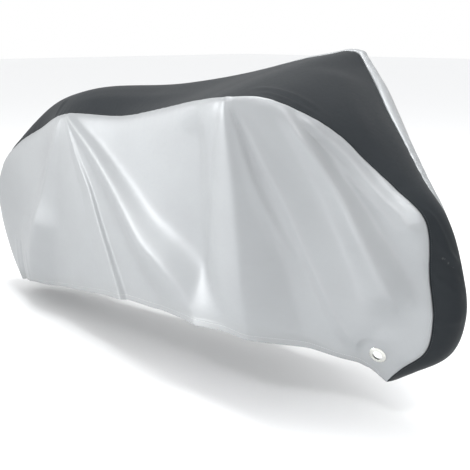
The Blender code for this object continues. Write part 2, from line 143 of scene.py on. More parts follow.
RIBS = (
    Rib("rear hem", (-0.900, -0.050, 0.070), (-0.900, 0.050, 0.074),
        0.025, (0.004, 0.004), (-0.868, 0.056, 0.066), 0.000),
    Rib("rear low", (-0.965, -0.052, 0.185), (-0.965, 0.052, 0.189),
        0.032, (0.008, 0.010), (-0.820, 0.070, 0.072), 0.012),
    Rib("rear nose", (-1.005, -0.054, 0.300), (-1.005, 0.054, 0.305),
        0.034, (0.012, 0.014), (-0.750, 0.084, 0.088), 0.018),
    Rib("rear brow", (-1.012, -0.055, 0.395), (-1.012, 0.056, 0.402),
        0.034, (0.014, 0.016), (-0.680, 0.096, 0.099), 0.022),
    Rib("rear turn", (-0.957, -0.060, 0.492), (-0.957, 0.063, 0.502),
        0.030, (0.014, 0.018), (-0.600, 0.111, 0.105), 0.026),
    Rib("rear slope", (-0.821, -0.070, 0.581), (-0.821, 0.076, 0.596),
        0.041, (0.016, 0.020), (-0.500, 0.130, 0.119), 0.028),
    Rib("rear ridge", (-0.648, -0.080, 0.650), (-0.650, 0.090, 0.672),
        0.068, (0.016, 0.022), (-0.400, 0.148, 0.135), 0.026),
    Rib("rear corner", (-0.409, -0.150, 0.715), (-0.430, 0.125, 0.745),
        0.061, (0.020, 0.024), (-0.300, 0.164, 0.150), 0.016),
    Rib("back", (-0.009, -0.180, 0.743), (-0.010, 0.140, 0.824),
        0.030, (0.018, 0.030), (-0.020, 0.196, 0.191), 0.010),
    Rib("waist", (0.185, -0.210, 0.777), (0.170, 0.190, 0.868),
        0.012, (0.018, 0.038), (0.130, 0.205, 0.200), 0.010),
    Rib("rise", (0.387, -0.265, 0.811), (0.345, 0.255, 0.911),
        0.010, (0.022, 0.044), (0.300, 0.202, 0.218), 0.008),
    Rib("peak", (0.534, -0.310, 0.828), (0.441, 0.285, 0.917),
        0.012, (0.026, 0.050), (0.420, 0.196, 0.226), 0.004),
    Rib("peak front", (0.607, -0.280, 0.831), (0.500, 0.253, 0.877),
        0.016, (0.024, 0.056), (0.500, 0.186, 0.226), 0.004),
    Rib("slope top", (0.697, -0.210, 0.789), (0.600, 0.178, 0.817),
        0.018, (0.020, 0.058), (0.570, 0.174, 0.220), 0.008),
    Rib("slope high", (0.748, -0.165, 0.747), (0.670, 0.130, 0.767),
        0.018, (0.018, 0.056), (0.620, 0.159, 0.214), 0.012),
    Rib("slope middle", (0.798, -0.135, 0.693), (0.740, 0.090, 0.715),
        0.018, (0.016, 0.044), (0.660, 0.144, 0.208), 0.014),
    Rib("slope low", (0.865, -0.110, 0.634), (0.830, 0.047, 0.637),
        0.018, (0.016, 0.034), (0.695, 0.127, 0.200), 0.014),
    Rib("front brow", (0.934, -0.090, 0.569), (0.915, 0.020, 0.555),
        0.022, (0.014, 0.022), (0.722, 0.113, 0.194), 0.014),
    Rib("front nose", (0.942, -0.070, 0.428), (0.943, 0.044, 0.432),
        0.042, (0.012, 0.018), (0.748, 0.100, 0.190), 0.012),
    Rib("front low", (0.953, -0.065, 0.335), (0.954, 0.052, 0.338),
        0.042, (0.010, 0.012), (0.764, 0.090, 0.186), 0.010),
    Rib("front under", (0.938, -0.060, 0.257), (0.939, 0.055, 0.259),
        0.033, (0.008, 0.008), (0.779, 0.080, 0.178), 0.006),
    Rib("front tuck", (0.867, -0.060, 0.186), (0.868, 0.056, 0.187),
        0.020, (0.004, 0.004), (0.792, 0.073, 0.172), 0.003),
    Rib("front hem", (0.828, -0.060, 0.144), (0.829, 0.056, 0.145),
        0.006, (0.000, 0.000), (0.806, 0.066, 0.161), 0.000),
)

NEAR_FOLDS = (
    Fold("kite ridge",
         ((-0.375, 0.725), (-0.483, 0.536), (-0.575, 0.345), (-0.690, 0.129), (-0.740, 0.0)),
         (0.008, 0.180), (0.006, 0.200), 0.050, 0.12, 0.30),
    Fold("kite sag", ((-0.640, 0.335), (-0.520, 0.335), (-0.400, 0.345)),
         (0.050, 0.050), (0.060, 0.060), 0.006, 0.25, 0.40, 0.35),
    Fold("shoulder of the crease",
         ((-0.345, 0.722), (-0.268, 0.603), (-0.198, 0.502), (-0.150, 0.399), (-0.107, 0.313),
          (-0.050, 0.198), (0.000, 0.060)),
         (0.010, 0.130), (0.003, 0.022), 0.018, 0.14, 0.20, end_share=0.9),
    Fold("drape ridge",
         ((-0.335, 0.725), (-0.183, 0.637), (-0.064, 0.552), (0.032, 0.480), (0.120, 0.409),
          (0.221, 0.345), (0.301, 0.270), (0.350, 0.180), (0.390, 0.050)),
         (0.014, 0.170), (0.012, 0.100), 0.072, 0.26, 0.30, end_share=0.70),
    Fold("hollow behind the cone",
         ((0.400, 0.800), (0.365, 0.640), (0.335, 0.480), (0.335, 0.340), (0.350, 0.150)),
         (0.060, 0.200), (0.040, 0.110), -0.026, 0.30, 0.30, 0.15),
    Fold("peak cone",
         ((0.541, 0.840), (0.537, 0.707), (0.531, 0.584), (0.524, 0.454), (0.518, 0.318),
          (0.515, 0.060)),
         (0.010, 0.240), (0.008, 0.150), 0.096, 0.12, 0.10, end_share=0.45),
    Fold("pipe behind",
         ((0.545, 0.825), (0.559, 0.753), (0.570, 0.670), (0.588, 0.586), (0.614, 0.501),
          (0.650, 0.430)),
         (0.006, 0.030), (0.005, 0.016), 0.011, 0.18, 0.30, 0.12),
    Fold("pipe ahead",
         ((0.548, 0.828), (0.573, 0.783), (0.602, 0.690), (0.626, 0.615), (0.653, 0.532),
          (0.680, 0.450), (0.700, 0.400), (0.718, 0.352), (0.741, 0.297), (0.770, 0.248),
          (0.797, 0.204)),
         (0.006, 0.034), (0.006, 0.110), 0.022, 0.16, 0.30, 0.12),
    Fold("slope ridge",
         ((0.645, 0.825), (0.667, 0.777), (0.697, 0.725), (0.729, 0.664), (0.765, 0.602),
          (0.798, 0.540), (0.835, 0.473), (0.865, 0.399), (0.885, 0.300)),
         (0.012, 0.080), (0.008, 0.050), 0.060, 0.18, 0.20, 0.18),
    Fold("slope crease",
         ((0.655, 0.818), (0.706, 0.735), (0.742, 0.688), (0.790, 0.638), (0.843, 0.585),
          (0.900, 0.520)),
         (0.008, 0.050), (0.004, 0.016), 0.009, 0.20, 0.30, 0.12),
    Fold("slope strip",
         ((0.679, 0.806), (0.723, 0.753), (0.770, 0.698), (0.828, 0.631), (0.888, 0.573),
          (0.932, 0.520)),
         (0.010, 0.034), (0.006, 0.018), 0.016, 0.30, 0.30, 0.12),
    Fold("hem drag", ((0.560, 0.268), (0.660, 0.240), (0.718, 0.212), (0.780, 0.176)),
         (0.018, 0.014), (0.020, 0.016), 0.005, 0.30, 0.40, 0.30),
    Fold("eyelet pucker", ((0.826, 0.240), (0.845, 0.272), (0.866, 0.300)),
         (0.010, 0.020), (0.010, 0.020), 0.0025, 0.40, 0.50, 0.45),
    Fold("eyelet crease", ((0.842, 0.215), (0.872, 0.232), (0.905, 0.240)),
         (0.010, 0.020), (0.010, 0.020), 0.0018, 0.40, 0.50, 0.45),
    Fold("rear gather", ((-0.760, 0.230), (-0.790, 0.100), (-0.810, 0.0)),
         (0.010, 0.022), (0.010, 0.020), -0.006, 0.35, 0.40),
    Fold("rear tuck", ((-0.820, 0.220), (-0.840, 0.100), (-0.850, 0.0)),
         (0.010, 0.018), (0.010, 0.018), 0.004, 0.35, 0.40),
    Fold("rear pleat", ((-0.700, 0.200), (-0.720, 0.120), (-0.735, 0.0)),
         (0.010, 0.022), (0.010, 0.018), 0.004, 0.35, 0.40),
)

BAND_FOLDS = (
    Fold("rear corner", ((0.981, 0.000), (0.998, 0.041), (1.000, 0.090)),
         (0.010, 0.030), (0.006, 0.016), 0.0060, 0.25, 0.30, 0.15),
    Fold("back edge", ((1.060, 0.030), (1.195, 0.063), (1.473, 0.092), (1.722, 0.107)),
         (0.020, 0.045), (0.020, 0.045), 0.0045, 0.30, 0.40, 0.30),
    Fold("peak pucker", ((2.090, 0.038), (2.153, 0.025), (2.204, 0.022), (2.262, 0.018)),
         (0.008, 0.010), (0.006, 0.008), 0.0030, 0.25, 0.30, 0.25),
    Fold("peak drag", ((2.046, 0.082), (2.120, 0.063), (2.181, 0.058), (2.262, 0.040)),
         (0.014, 0.012), (0.012, 0.010), 0.0040, 0.25, 0.30, 0.25),
    Fold("face drape", ((2.110, 0.400), (2.190, 0.270), (2.290, 0.130), (2.420, 0.040)),
         (0.090, 0.040), (0.060, 0.030), 0.0060, 0.30, 0.40, 0.25),
    Fold("front drag", ((2.560, 0.010), (2.622, 0.028), (2.678, 0.048), (2.715, 0.070)),
         (0.010, 0.014), (0.008, 0.010), 0.0040, 0.25, 0.30, 0.20),
    Fold("high crinkle", ((2.625, 0.002), (2.667, 0.034), (2.722, 0.098)),
         (0.010, 0.014), (0.007, 0.009), 0.0035, 0.25, 0.30, 0.15),
    Fold("middle crinkle", ((2.668, 0.003), (2.690, 0.034), (2.762, 0.092)),
         (0.010, 0.013), (0.007, 0.009), -0.0030, 0.25, 0.30, 0.15),
    Fold("low crinkle", ((2.722, 0.003), (2.751, 0.034), (2.795, 0.078)),
         (0.010, 0.013), (0.007, 0.009), 0.0035, 0.25, 0.30, 0.15),
    Fold("low crease", ((2.846, 0.002), (2.836, 0.033), (2.834, 0.075)),
         (0.009, 0.012), (0.006, 0.008), 0.0028, 0.25, 0.30, 0.15),
)

FAR_FOLDS = (
    Fold("kite ridge", ((-0.395, 0.755), (-0.500, 0.540), (-0.600, 0.330), (-0.720, 0.030)),
         (0.008, 0.230), (0.006, 0.180), 0.046),
    Fold("shoulder of the crease",
         ((-0.365, 0.750), (-0.290, 0.600), (-0.210, 0.440), (-0.130, 0.270), (-0.070, 0.050)),
         (0.010, 0.150), (0.003, 0.050), 0.026, 0.22),
    Fold("drape ridge",
         ((-0.355, 0.755), (-0.210, 0.640), (-0.080, 0.520), (0.040, 0.390), (0.150, 0.250),
          (0.230, 0.050)),
         (0.014, 0.150), (0.012, 0.120), 0.056, 0.12),
    Fold("peak cone",
         ((0.447, 0.925), (0.440, 0.760), (0.425, 0.600), (0.405, 0.420), (0.390, 0.060)),
         (0.008, 0.260), (0.008, 0.170), 0.068, 0.16),
    Fold("pipe",
         ((0.455, 0.915), (0.500, 0.800), (0.555, 0.660), (0.620, 0.500), (0.690, 0.350),
          (0.780, 0.210)),
         (0.006, 0.032), (0.006, 0.100), 0.020, 0.18, 0.30, 0.12),
    Fold("slope ridge",
         ((0.540, 0.880), (0.620, 0.760), (0.700, 0.620), (0.770, 0.480), (0.830, 0.320)),
         (0.012, 0.160), (0.008, 0.100), 0.046, 0.14, 0.30, 0.25),
    Fold("rear gather", ((-0.780, 0.230), (-0.800, 0.100), (-0.815, 0.0)),
         (0.014, 0.020), (0.012, 0.018), -0.008, 0.35),
    Fold("rear tuck", ((-0.720, 0.210), (-0.735, 0.100), (-0.745, 0.0)),
         (0.012, 0.016), (0.012, 0.016), 0.006, 0.35),
)


# Small helpers


def linear(colour: str) -> tuple[float, float, float, float]:
    """Turns an sRGB hex colour to linear RGBA.

    Args:
        colour: The colour, such as "#c8ccce".

    Returns:
        Its red, green, blue and an alpha of 1.
    """
    parts = [int(colour[n:n + 2], 16) / 255 for n in (1, 3, 5)]
    red, green, blue = (
        part / 12.92 if part <= 0.04045 else ((part + 0.055) / 1.055) ** 2.4 for part in parts
    )
    return red, green, blue, 1.0


def fill_sockets(tree: bpy.types.NodeTree, node: bpy.types.Node, inputs: dict) -> None:
    """Gives a node its constants and its links.

    Args:
        tree: The node tree that the node is in.
        node: The node.
        inputs: What goes into its sockets, by name or number: a constant, or another node's socket.
    """
    for name, value in inputs.items():
        if isinstance(value, bpy.types.NodeSocket):
            tree.links.new(value, node.inputs[name])
        else:
            node.inputs[name].default_value = value


def add_node(tree: bpy.types.NodeTree, kind: str, settings: dict, inputs: dict) -> bpy.types.Node:
    """Adds a node with its settings, its constants and its links.

    Args:
        tree: The node tree that gets the node.
        kind: The node's type name, such as "ShaderNodeBump".
        settings: The node's own properties, by name.
        inputs: What goes into its sockets, as fill_sockets takes it.

    Returns:
        The new node.
    """
    node = tree.nodes.new(kind)
    for name, value in settings.items():
        setattr(node, name, value)
    fill_sockets(tree, node, inputs)
    return node


def wave_scale(strand_mm: float) -> float:
    """Returns the scale at which each strand takes half a wave: bands lie tau / 20 m apart at 1."""
    return math.tau / (20 * 2 * strand_mm * MM)


def smoothstep(low: float, high: float, value: np.ndarray) -> np.ndarray:
    """Rises smoothly from 0 at low to 1 at high.

    Args:
        low: Where the rise starts.
        high: Where it ends.
        value: The values to read it at.

    Returns:
        The share of the rise at each value.
    """
    share = np.clip((value - low) / (high - low), 0.0, 1.0)
    return share * share * (3 - 2 * share)


def read_smoothly(knots: np.ndarray, table: np.ndarray, where: np.ndarray) -> np.ndarray:
    """Reads a table between its rows with a cubic curve through them.

    Args:
        knots: Where each row of the table lies.
        table: The rows.
        where: Where to read it.

    Returns:
        One row for each place read.
    """
    spans = np.diff(knots)[:, None]
    chords = np.diff(table, axis=0) / spans
    slopes = np.empty_like(table)
    slopes[0], slopes[-1] = chords[0], chords[-1]
    slopes[1:-1] = (chords[:-1] * spans[1:] + chords[1:] * spans[:-1]) / (spans[:-1] + spans[1:])
    row = np.clip(np.searchsorted(knots, where, side="right") - 1, 0, len(knots) - 2)
    span = spans[row]
    share = (where - knots[row])[:, None] / span
    return (
        (2 * share ** 3 - 3 * share ** 2 + 1) * table[row]
        + (share ** 3 - 2 * share ** 2 + share) * span * slopes[row]
        + (3 * share ** 2 - 2 * share ** 3) * table[row + 1]
        + (share ** 3 - share ** 2) * span * slopes[row + 1]
    )


def wander(along: np.ndarray, across: np.ndarray, size: float, seed: int) -> np.ndarray:
    """Gives a smooth unevenness that is the same on every run.

    Args:
        along: First coordinate of each place, in metres.
        across: Second coordinate of each place, in metres.
        size: Rough size of one swell, in metres.
        seed: A number that picks the pattern.

    Returns:
        A value of about -1 to 1 at each place.
    """
    along, across = np.broadcast_arrays(along, across)
    values = [
        noise.noise((a / size, b / size, 7.31 * seed)) for a, b in zip(along.ravel(), across.ravel())
    ]
    return np.array(values).reshape(along.shape)


def line_lengths(points: np.ndarray) -> np.ndarray:
    """Returns how far along a line of points each of them lies."""
    return np.concatenate([[0.0], np.cumsum(np.linalg.norm(np.diff(points, axis=0), axis=1))])


def run_lengths(points: np.ndarray, axis: int) -> np.ndarray:
    """Measures along the lines of a grid.

    Args:
        points: Grid of points, columns by rows by 3.
        axis: 0 to measure along the columns' order, 1 along the rows'.

    Returns:
        The length from the first point of its line to each point.
    """
    steps = np.linalg.norm(np.diff(points, axis=axis), axis=2)
    start = np.zeros_like(np.take(steps, [0], axis=axis))
    return np.cumsum(np.concatenate([start, steps], axis=axis), axis=axis)


def surface_normals(points: np.ndarray) -> np.ndarray:
    """Returns the unit normal at each point of a grid of columns by rows."""
    normals = np.cross(np.gradient(points, axis=0), np.gradient(points, axis=1))
    return normals / np.linalg.norm(normals, axis=2)[:, :, None]


def mesh_from_arrays(name: str, points: np.ndarray, faces: list[tuple[int, ...]]) -> bpy.types.Mesh:
    """Makes a smooth mesh and lowers it from ground coordinates into the frame's own.

    Args:
        name: The mesh's name.
        points: Its vertices in ground coordinates.
        faces: The vertex numbers of each face.

    Returns:
        The mesh.
    """
    mesh = bpy.data.meshes.new(name)
    mesh.from_pydata((points - np.array([0.0, 0.0, SUPPORT_HEIGHT])).tolist(), [], faces)
    mesh.validate()
    mesh.shade_smooth()
    return mesh


def place_piece(
    name: str, mesh: bpy.types.Mesh, materials: list[bpy.types.Material]
) -> bpy.types.Object:
    """Adds a piece of the cover to the scene and lets it ride on the cover's body.

    Args:
        name: The piece's name.
        mesh: Its mesh, in the frame's coordinates.
        materials: Its materials, in the order of its faces' material numbers.

    Returns:
        The new object.
    """
    for material in materials:
        mesh.materials.append(material)
    piece = bpy.data.objects.new(name, mesh)
    bpy.context.scene.collection.objects.link(piece)
    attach(piece, BODY)
    log.info("%s: %d faces", name, len(mesh.polygons))
    return piece


# Finishes


@dataclass(frozen=True)
class Finish:
    """What all the finishes have: a name, their main tone, and the tone that they stray to."""

    name: str
    face: str
    shade: str

    def make(self) -> bpy.types.Material:
        """Builds the node material.

        Returns:
            The material.
        """
        material = bpy.data.materials.new(self.name)
        material.use_nodes = True
        tree = material.node_tree
        fill_sockets(tree, tree.nodes["Principled BSDF"], self.surface(tree))
        return material

    def surface(self, tree: bpy.types.NodeTree) -> dict:
        """Adds the finish's own nodes.

        Args:
            tree: The material's node tree.

        Returns:
            What goes into the sockets of its Principled surface.
        """
        raise NotImplementedError


@dataclass(frozen=True)
class CoatedPolyester(Finish):
    """Plain-woven polyester, dyed or plain, with a thin polyurethane coating on its face.

    The weave is 0.13 mm a thread, far too fine to show, so it is drawn at thread_mm. What the eye
    gets is the soft sheen of the coating, which streaks where it was spread, faint crinkles where
    the cloth was folded and packed, a slight change of tone from place to place, and a little dust
    that has settled near the edges.
    """

    dust: str
    metallic: float
    roughness: float
    specular: float
    thread_mm: float = 1.1
    weave_depth_mm: float = 0.05
    crinkle_mm: float = 26.0
    crinkle_depth_mm: float = 0.55
    streak_mm: float = 9.0
    mottle_mm: float = 160.0
    grime_mm: float = 35.0
    dusty_edge_mm: float = 50.0
    dust_share: float = 0.35

    def surface(self, tree: bpy.types.NodeTree) -> dict:
        """Adds the tones and dust, the weave and crinkles, and the streaks in the coating.

        Args:
            tree: The material's node tree.

        Returns:
            What goes into the sockets of its Principled surface.
        """
        place = add_node(
            tree, "ShaderNodeAttribute", {"attribute_name": "cloth_place"}, {}
        ).outputs["Vector"]
        edge = add_node(tree, "ShaderNodeSeparateXYZ", {}, {"Vector": place}).outputs["Z"]

        mottle = add_node(
            tree, "ShaderNodeTexNoise", {},
            {"Vector": place, "Scale": 1 / (self.mottle_mm * MM), "Detail": 4.0, "Roughness": 0.6},
        )
        tone = add_node(
            tree, "ShaderNodeMix", {"data_type": "RGBA"},
            {"Factor": mottle.outputs["Fac"], "A": linear(self.face), "B": linear(self.shade)},
        )
        near_edge = add_node(
            tree, "ShaderNodeMapRange", {},
            {
                "Value": edge, "From Min": 0.0, "From Max": self.dusty_edge_mm * MM,
                "To Min": self.dust_share, "To Max": 0.0,
            },
        )
        grime = add_node(
            tree, "ShaderNodeTexNoise", {},
            {"Vector": place, "Scale": 1 / (self.grime_mm * MM), "Detail": 5.0, "Roughness": 0.7},
        )
        dusty = add_node(
            tree, "ShaderNodeMath", {"operation": "MULTIPLY"},
            {0: near_edge.outputs["Result"], 1: grime.outputs["Fac"]},
        )
        colour = add_node(
            tree, "ShaderNodeMix", {"data_type": "RGBA"},
            {"Factor": dusty.outputs["Value"], "A": tone.outputs["Result"], "B": linear(self.dust)},
        )

        waves = [
            add_node(
                tree, "ShaderNodeTexWave", {"bands_direction": way, "wave_profile": "SIN"},
                {"Vector": place, "Scale": wave_scale(self.thread_mm), "Distortion": 0.0},
            ).outputs["Fac"]
            for way in ("X", "Y")
        ]
        weave = add_node(tree, "ShaderNodeMath", {"operation": "MULTIPLY"}, {0: waves[0], 1: waves[1]})
        woven = add_node(
            tree, "ShaderNodeBump", {},
            {"Height": weave.outputs["Value"], "Distance": self.weave_depth_mm * MM, "Strength": 0.6},
        )
        crinkle = add_node(
            tree, "ShaderNodeTexNoise", {"noise_type": "RIDGED_MULTIFRACTAL"},
            {"Vector": place, "Scale": 1 / (self.crinkle_mm * MM), "Detail": 3.0, "Roughness": 0.5},
        )
        crinkled = add_node(
            tree, "ShaderNodeBump", {},
            {
                "Height": crinkle.outputs["Fac"], "Distance": self.crinkle_depth_mm * MM,
                "Strength": 0.5, "Normal": woven.outputs["Normal"],
            },
        )

        streaks = add_node(
            tree, "ShaderNodeTexNoise", {},
            {"Vector": place, "Scale": 1 / (self.streak_mm * MM), "Detail": 3.0, "Roughness": 0.6},
        )
        rough = add_node(
            tree, "ShaderNodeMapRange", {},
            {
                "Value": streaks.outputs["Fac"],
                "To Min": self.roughness - 0.05, "To Max": self.roughness + 0.07,
            },
        )
        return {
            "Base Color": colour.outputs["Result"],
            "Normal": crinkled.outputs["Normal"],
            "Roughness": rough.outputs["Result"],
            "Metallic": self.metallic,
            "Specular IOR Level": self.specular,
        }


@dataclass(frozen=True)
class PolyesterBack(Finish):
    """The uncoated back of the same cloth, inside the cover: matt, with a dull grey bloom."""

    roughness: float = 0.72
    bloom_mm: float = 80.0
    bloom_depth_mm: float = 0.4

    def surface(self, tree: bpy.types.NodeTree) -> dict:
        """Adds the bloom and the faint unevenness that comes with it.

        Args:
            tree: The material's node tree.

        Returns:
            What goes into the sockets of its Principled surface.
        """
        place = add_node(
            tree, "ShaderNodeAttribute", {"attribute_name": "cloth_place"}, {}
        ).outputs["Vector"]
        bloom = add_node(
            tree, "ShaderNodeTexNoise", {},
            {"Vector": place, "Scale": 1 / (self.bloom_mm * MM), "Detail": 5.0, "Roughness": 0.65},
        ).outputs["Fac"]
        tone = add_node(
            tree, "ShaderNodeMix", {"data_type": "RGBA"},
            {"Factor": bloom, "A": linear(self.face), "B": linear(self.shade)},
        )
        bump = add_node(
            tree, "ShaderNodeBump", {},
            {"Height": bloom, "Distance": self.bloom_depth_mm * MM, "Strength": 0.4},
        )
        return {
            "Base Color": tone.outputs["Result"],
            "Normal": bump.outputs["Normal"],
            "Roughness": self.roughness,
        }


@dataclass(frozen=True)
class BondedThread(Finish):
    """Bonded polyester sewing thread: two plies twisted together, slightly waxy."""

    ply_mm: float = 0.9
    ply_depth_mm: float = 0.1
    roughness: float = 0.5

    def surface(self, tree: bpy.types.NodeTree) -> dict:
        """Adds the twist of the plies, in tone and in relief.

        Args:
            tree: The material's node tree.

        Returns:
            What goes into the sockets of its Principled surface.
        """
        place = add_node(tree, "ShaderNodeTexCoord", {}, {}).outputs["Object"]
        plies = add_node(
            tree, "ShaderNodeTexWave", {"bands_direction": "DIAGONAL"},
            {"Vector": place, "Scale": wave_scale(self.ply_mm), "Distortion": 1.0},
        ).outputs["Fac"]
        tone = add_node(
            tree, "ShaderNodeMix", {"data_type": "RGBA"},
            {"Factor": plies, "A": linear(self.face), "B": linear(self.shade)},
        )
        bump = add_node(
            tree, "ShaderNodeBump", {},
            {"Height": plies, "Distance": self.ply_depth_mm * MM, "Strength": 0.5},
        )
        return {
            "Base Color": tone.outputs["Result"],
            "Normal": bump.outputs["Normal"],
            "Roughness": self.roughness,
        }


@dataclass(frozen=True)
class NickelPlate(Finish):
    """Bright nickel on pressed brass: a clear mirror, finely rubbed by what is threaded through."""

    roughness: float = 0.22
    rub_mm: float = 1.6
    rub_depth_mm: float = 0.03

    def surface(self, tree: bpy.types.NodeTree) -> dict:
        """Adds the rubs, which dull the plate and scratch it a little.

        Args:
            tree: The material's node tree.

        Returns:
            What goes into the sockets of its Principled surface.
        """
        place = add_node(tree, "ShaderNodeTexCoord", {}, {}).outputs["Object"]
        rubs = add_node(
            tree, "ShaderNodeTexNoise", {},
            {"Vector": place, "Scale": 1 / (self.rub_mm * MM), "Detail": 6.0, "Roughness": 0.7},
        ).outputs["Fac"]
        tone = add_node(
            tree, "ShaderNodeMix", {"data_type": "RGBA"},
            {"Factor": rubs, "A": linear(self.face), "B": linear(self.shade)},
        )
        rough = add_node(
            tree, "ShaderNodeMapRange", {},
            {
                "Value": rubs, "From Min": 0.3, "From Max": 0.7,
                "To Min": self.roughness - 0.08, "To Max": self.roughness + 0.14,
            },
        )
        bump = add_node(
            tree, "ShaderNodeBump", {},
            {"Height": rubs, "Distance": self.rub_depth_mm * MM, "Strength": 0.4},
        )
        return {
            "Base Color": tone.outputs["Result"],
            "Normal": bump.outputs["Normal"],
            "Roughness": rough.outputs["Result"],
            "Metallic": 1.0,
        }


SILVER_CLOTH = CoatedPolyester(
    "silver_coated_polyester", face="#919496", shade="#898b8d", dust="#7c7d79",
    metallic=0.32, roughness=0.47, specular=0.5,
)
BLACK_CLOTH = CoatedPolyester(
    "black_coated_polyester", face="#232629", shade="#1d2124", dust="#353633",
    metallic=0.0, roughness=0.55, specular=0.10,
)
SILVER_BACK = PolyesterBack("silver_polyester_back", face="#8f9496", shade="#7f8486")
BLACK_BACK = PolyesterBack("black_polyester_back", face="#25292b", shade="#1b1e20")
SILVER_THREAD = BondedThread("silver_thread", face="#b4b8ba", shade="#94989a")
BLACK_THREAD = BondedThread("black_thread", face="#2c3033", shade="#181b1d")
NICKEL = NickelPlate("nickel_plated_brass", face="#d8d8d4", shade="#c4c4bf")


# The draped form


@dataclass
class DrapedForm:
    """The whole cover's outer surface, as one fine grid of columns by rows.

    Its rows run from the near hem up to the near seam, over the band to the far seam, and down to
    the far hem.

    brow_depth is the share of the way down over which a panel turns from its seam into its side, and
    rises says how far its brow lifts for each metre that it stands out. A fold has fold_at_seam of
    its height at a seam, which holds the cloth down, and all of it panel_held or band_held away.
    hem_groove is the depth of the groove that the stitches pull into a hem, how far inside the hem's
    inner edge it lies, and its width.
    """

    column_spacing: float = 5.6 * MM
    near_rows: int = 144
    band_rows: int = 48
    far_rows: int = 96
    brow_depth: float = 0.035
    brow_fall: float = 1.5
    rises: dict[Side, float] = field(default_factory=lambda: {Side.NEAR: 0.25, Side.FAR: 0.55})
    band_crowding: float = 1.2
    crown_fullness: float = 2.2
    crest_samples: int = 100
    fold_reach: float = 2.5
    fold_at_seam: float = 0.1
    panel_held: float = 20 * MM
    band_held: float = 8 * MM
    pucker_height: float = 1.6 * MM
    pucker_length: float = 24 * MM
    seam_depth: float = 1.4 * MM
    seam_width: float = 2.2 * MM
    hem_width: float = 18 * MM
    hem_height: float = 0.7 * MM
    hem_groove: tuple[float, float, float] = (0.6 * MM, 3.0 * MM, 1.8 * MM)

    def __post_init__(self) -> None:
        """Lofts the surface, presses its folds in and sews it."""
        self.measures = self._read_ribs(self._column_positions())
        near = self._panel(Side.NEAR, self._panel_shares(self.near_rows))
        far = self._panel(Side.FAR, self._panel_shares(self.far_rows))
        band = self._band()
        self.points = np.concatenate([near[:, ::-1], band[:, 1:-1], far], axis=1)
        self.near_seam = self.near_rows
        self.far_seam = self.near_rows + self.band_rows
        self.last_row = self.points.shape[1] - 1
        self.near_span = slice(0, self.near_seam + 1)
        self.band_span = slice(self.near_seam, self.far_seam + 1)
        self.far_span = slice(self.far_seam, self.last_row + 1)
        normals = surface_normals(self.points)
        for span, seam, folds in (
            (self.near_span, -1, NEAR_FOLDS), (self.far_span, 0, FAR_FOLDS),
        ):
            lift = self._panel_lift(self.points[:, span], seam, folds)
            self.points[:, span] += normals[:, span] * lift[:, :, None]
        lift = self._band_lift(self.points[:, self.band_span])
        self.points[:, self.band_span] += normals[:, self.band_span] * lift[:, :, None]
        self.points += surface_normals(self.points) * self._sewn_heights()[:, :, None]
        self.normals = surface_normals(self.points)

    def _panel_lift(self, panel: np.ndarray, seam: int, folds: tuple[Fold, ...]) -> np.ndarray:
        """Works out how far the folds lift a side panel, which its seam holds down.

        Args:
            panel: The panel's points, columns by rows.
            seam: The row that is sewn.
            folds: The panel's folds.

        Returns:
            The lift along the normal at each point.
        """
        run = run_lengths(panel, 1)
        freed = smoothstep(0.0, self.panel_held, np.abs(run - run[:, [seam]]))
        lift = self._fold_heights(panel[:, :, [0, 2]], folds)
        return lift * (self.fold_at_seam + (1 - self.fold_at_seam) * freed)

    def _band_lift(self, band: np.ndarray) -> np.ndarray:
        """Works out how far the folds lift the centre band, which both its seams hold down.

        Args:
            band: The band's points, columns by rows.

        Returns:
            The lift along the normal at each point.
        """
        across = run_lengths(band, 1)
        along = np.broadcast_to(run_lengths(band, 0)[:, [0]], across.shape)
        freed = smoothstep(0.0, self.band_held, np.minimum(across, across[:, [-1]] - across))
        return self._fold_heights(np.stack([along, across], axis=2), BAND_FOLDS) * freed

    @staticmethod
    def _rib_table() -> np.ndarray:
        """Returns the ribs' measures as one row of numbers for each rib."""
        return np.array([
            (*rib.near, *rib.far, rib.crown, *rib.brow, *rib.hem, rib.belly) for rib in RIBS
        ])

    def _column_positions(self) -> np.ndarray:
        """Spaces the columns evenly from each rib to the next.

        Returns:
            Their positions in the table of ribs, such as 2.5 for halfway between two.
        """
        table = self._rib_table()
        seam_steps = np.linalg.norm(np.diff(table[:, 0:3], axis=0), axis=1)
        hem_steps = np.linalg.norm(np.diff(table[:, 9:12], axis=0), axis=1)
        counts = 2 * np.ceil(np.maximum(seam_steps, hem_steps) / self.column_spacing / 2).astype(int)
        parts = [number + np.arange(count) / count for number, count in enumerate(counts)]
        return np.concatenate([*parts, [len(RIBS) - 1.0]])

    def _read_ribs(self, positions: np.ndarray) -> dict[str, np.ndarray]:
        """Reads the table of ribs between its rows with a cubic curve through them.

        Args:
            positions: Where to read it, in ribs.

        Returns:
            Named arrays, with one row for each position.
        """
        table = self._rib_table()
        middles = (table[:, 0:3] + table[:, 3:6]) / 2
        knots = line_lengths(middles)
        where = np.interp(positions, np.arange(len(RIBS)), knots)
        read = read_smoothly(knots, table, where)
        hem_x, hem_half, hem_z = read[:, 9], read[:, 10], read[:, 11]
        return {
            "near": read[:, 0:3],
            "far": read[:, 3:6],
            "crown": read[:, 6],
            "near_brow": read[:, 7],
            "far_brow": read[:, 8],
            "near_hem": np.stack([hem_x, -hem_half, hem_z], axis=1),
            "far_hem": np.stack([hem_x, hem_half, hem_z], axis=1),
            "belly": read[:, 12],
        }

    @staticmethod
    def _panel_shares(rows: int) -> np.ndarray:
        """Spreads rows from a seam (0) to a hem (1), closer together at both.

        Args:
            rows: The number of rows of faces.

        Returns:
            The share of the way down of each row's edge.
        """
        share = np.linspace(0, 1, 2000)
